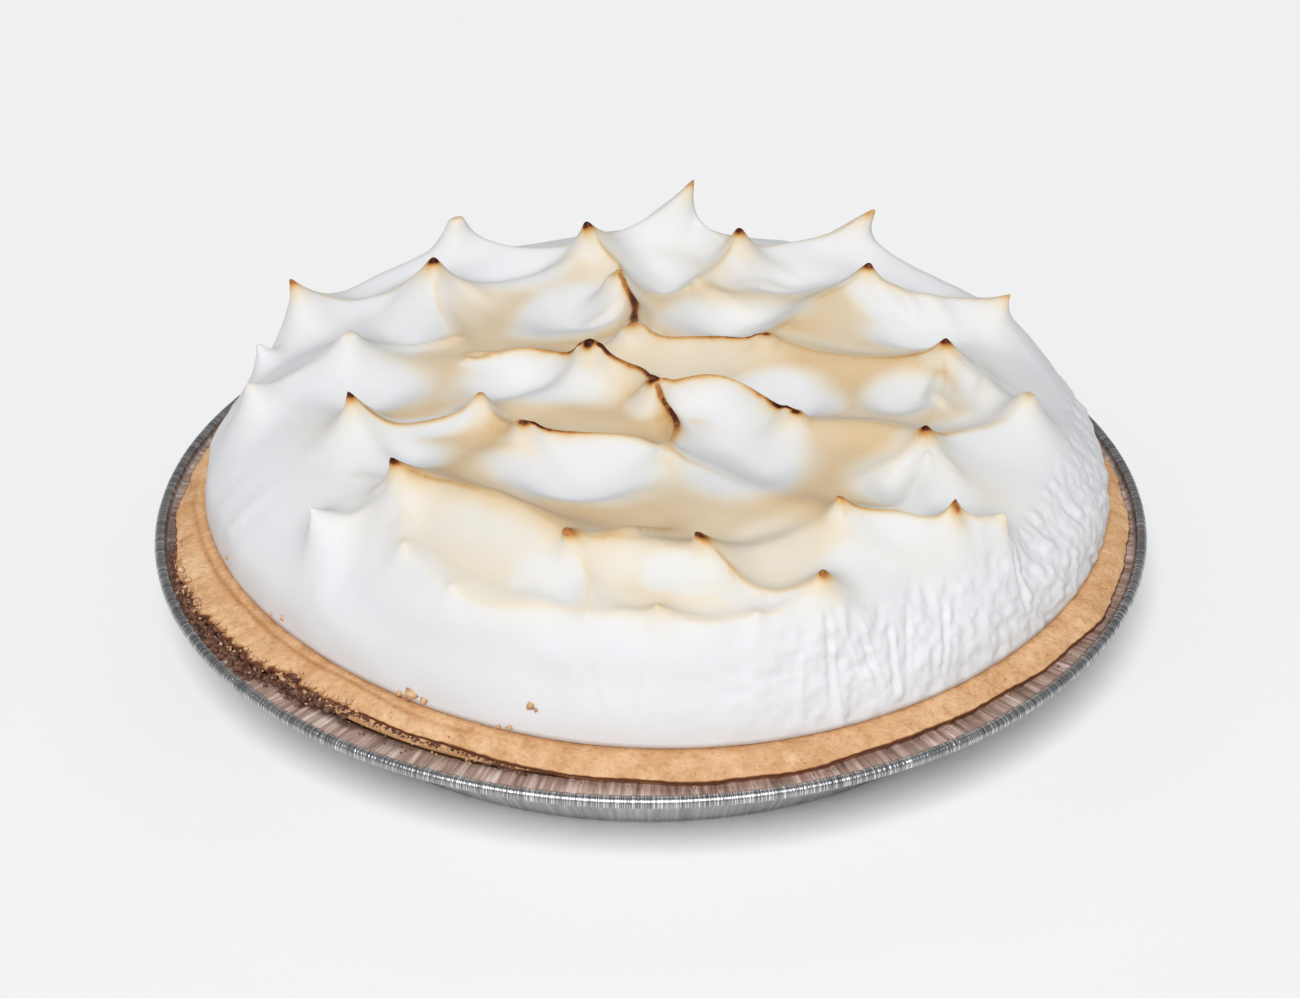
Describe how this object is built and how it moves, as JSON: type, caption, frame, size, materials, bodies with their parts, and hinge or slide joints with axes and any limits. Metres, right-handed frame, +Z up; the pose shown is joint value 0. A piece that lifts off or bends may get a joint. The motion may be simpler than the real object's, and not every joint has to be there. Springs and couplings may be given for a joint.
{
  "type": "meringue pie in a foil tin",
  "caption": "Whole round meringue pie in its foil tin, crumb crust under a high domed meringue pulled into toasted peaks.",
  "frame": {"origin": "middle of the tin's flat underside, on the surface the pie stands on", "axes": "+Z up through the middle of the pie; -Y towards the side with the smooth front wall, +X to the right of it"},
  "size_m": [0.222, 0.222, 0.073],
  "materials": {
    "foil": "bright thin foil with fine radial wrinkles and a crimped, rolled rim",
    "crumb_crust": "golden tan baked crumb, dry and grainy, darker along its edges",
    "meringue": "white baked meringue, softly translucent, tan in the hollows, scorched brown on crests and tips"
  },
  "bodies": {
    "root": {"foil_tin": "foil", "crust": "crumb_crust", "meringue": "meringue"}
  },
  "joints": []
}
